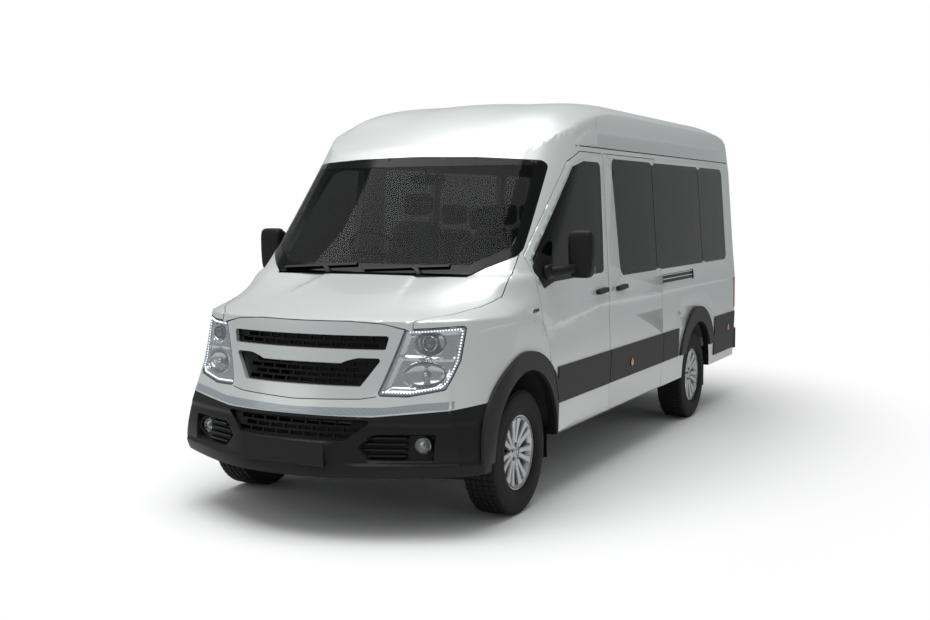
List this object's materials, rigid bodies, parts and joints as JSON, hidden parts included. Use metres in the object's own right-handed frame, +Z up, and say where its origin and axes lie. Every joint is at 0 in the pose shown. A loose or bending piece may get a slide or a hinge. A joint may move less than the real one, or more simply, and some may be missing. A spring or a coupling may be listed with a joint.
{
  "type": "minibus",
  "caption": "High-roof passenger minibus with a short bonnet, large side windows, a sliding side door, rear barn doors and black cladding.",
  "frame": {"origin": "on the road, at the middle of the length and width of the whole vehicle", "axes": "+Z up, -Y towards the front of the vehicle, +X towards its left side"},
  "size_m": [2.456, 6.05, 2.5499],
  "materials": {
    "body_paint": "silver-white metallic paint",
    "roof_paint": "silver-white metallic paint",
    "black_plastic": "grained moulded plastic",
    "grille_plastic": "silver painted plastic",
    "mesh_plastic": "black moulded mesh",
    "lamp": "clear lamp cover over bright reflectors",
    "red_lamp": "red lamp cover",
    "window_glass": "tinted toughened glass",
    "screen_glass": "clear laminated glass",
    "alloy": "silver painted cast alloy",
    "tyre_rubber": "road tyre",
    "chassis_black": "black chassis paint",
    "cast_metal": "bare cast metal",
    "trim_plastic": "light grey interior trim",
    "dark_trim": "dark interior trim",
    "seat_cloth": "black woven seat cloth",
    "rubber": "black rubber"
  },
  "bodies": {
    "body": {"body_side_left": "body_paint", "body_side_right": "body_paint", "body_trim": "black_plastic", "bulkhead": "dark_trim", "chassis_frame": "chassis_black", "dashboard": "dark_trim", "door_pillars": "trim_plastic", "driveline": "cast_metal", "engine_block": "cast_metal", "exhaust": "cast_metal", "floor_pan": "dark_trim", "front_bumper": "black_plastic", "front_carrier": "chassis_black", "front_lamps": "lamp", "front_panel": "body_paint", "front_seats": "seat_cloth", "front_suspension": "chassis_black", "fuel_tank": "chassis_black", "grille_frame": "grille_plastic", "grille_mesh": "mesh_plastic", "leaf_springs": "chassis_black", "mud_flaps": "rubber", "passenger_seats": "seat_cloth", "rear_axle": "chassis_black", "rear_bumper": "black_plastic", "rear_frame": "body_paint", "roof_panel": "roof_paint", "seat_frames": "dark_trim", "side_glass": "window_glass", "sliding_door": "body_paint", "tail_lamps": "red_lamp", "wheel_liners": "rubber", "windscreen": "screen_glass", "wings": "body_paint", "wiper_cowl": "black_plastic"},
    "bonnet": {"bonnet": "body_paint"},
    "front_door_left": {"front_door_left": "body_paint", "door_glass_left": "window_glass", "door_trim_left": "black_plastic", "door_mirror_left": "black_plastic"},
    "front_door_right": {"front_door_right": "body_paint", "door_glass_right": "window_glass", "door_trim_right": "black_plastic", "door_mirror_right": "black_plastic"},
    "rear_door_left": {"rear_door_left": "body_paint", "rear_glass_left": "window_glass", "rear_door_trim": "black_plastic"},
    "rear_door_right": {"rear_door_right": "body_paint", "rear_glass_right": "window_glass"},
    "knuckle_left": {"knuckle_left": "cast_metal"},
    "knuckle_right": {"knuckle_right": "cast_metal"},
    "steering_wheel": {"steering_wheel": "dark_trim"},
    "wheel_front_left": {"rim_front_left": "alloy", "tyre_front_left": "tyre_rubber"},
    "wheel_front_right": {"rim_front_right": "alloy", "tyre_front_right": "tyre_rubber"},
    "wheel_rear_left": {"rim_rear_left": "alloy", "tyre_rear_left": "tyre_rubber"},
    "wheel_rear_right": {"rim_rear_right": "alloy", "tyre_rear_right": "tyre_rubber"}
  },
  "joints": [
    {"name": "bonnet_hinge", "type": "hinge", "parent": "body", "child": "bonnet", "pos_m": [0, -1.725, 1.536], "axis": [-1, 0, 0], "range_deg": [0, 45]},
    {"name": "front_door_left_hinge", "type": "hinge", "parent": "body", "child": "front_door_left", "pos_m": [1.012, -1.799, 1], "axis": [0, 0, -1], "range_deg": [0, 65]},
    {"name": "front_door_right_hinge", "type": "hinge", "parent": "body", "child": "front_door_right", "pos_m": [-1.012, -1.799, 1], "axis": [0, 0, 1], "range_deg": [0, 65]},
    {"name": "rear_door_left_hinge", "type": "hinge", "parent": "body", "child": "rear_door_left", "pos_m": [0.874, 2.969, 1.2], "axis": [0, 0, -1], "range_deg": [0, 170]},
    {"name": "rear_door_right_hinge", "type": "hinge", "parent": "body", "child": "rear_door_right", "pos_m": [-0.874, 2.969, 1.2], "axis": [0, 0, 1], "range_deg": [0, 170]},
    {"name": "steer_left", "type": "hinge", "parent": "body", "child": "knuckle_left", "pos_m": [0.8, -2.025, 0.365], "axis": [0, 0, 1], "range_deg": [-35, 35]},
    {"name": "steer_right", "type": "hinge", "parent": "body", "child": "knuckle_right", "pos_m": [-0.8, -2.025, 0.365], "axis": [0, 0, 1], "range_deg": [-35, 35]},
    {"name": "steering_wheel_turn", "type": "hinge", "parent": "body", "child": "steering_wheel", "pos_m": [-0.4, -1.325, 1.48], "axis": [0, 0.8211, 0.5708], "range_deg": [-490, 490]},
    {"name": "wheel_front_left_spin", "type": "hinge", "parent": "knuckle_left", "child": "wheel_front_left", "pos_m": [0.879, -2.025, 0.365], "axis": [1, 0, 0], "continuous": true},
    {"name": "wheel_front_right_spin", "type": "hinge", "parent": "knuckle_right", "child": "wheel_front_right", "pos_m": [-0.879, -2.025, 0.365], "axis": [1, 0, 0], "continuous": true},
    {"name": "wheel_rear_left_spin", "type": "hinge", "parent": "body", "child": "wheel_rear_left", "pos_m": [0.879, 1.59, 0.365], "axis": [1, 0, 0], "continuous": true},
    {"name": "wheel_rear_right_spin", "type": "hinge", "parent": "body", "child": "wheel_rear_right", "pos_m": [-0.879, 1.59, 0.365], "axis": [1, 0, 0], "continuous": true}
  ],
  "couplings": [
    {"joint": "steer_right", "follows": "steer_left", "ratio": 1},
    {"joint": "steering_wheel_turn", "follows": "steer_left", "ratio": 14}
  ]
}
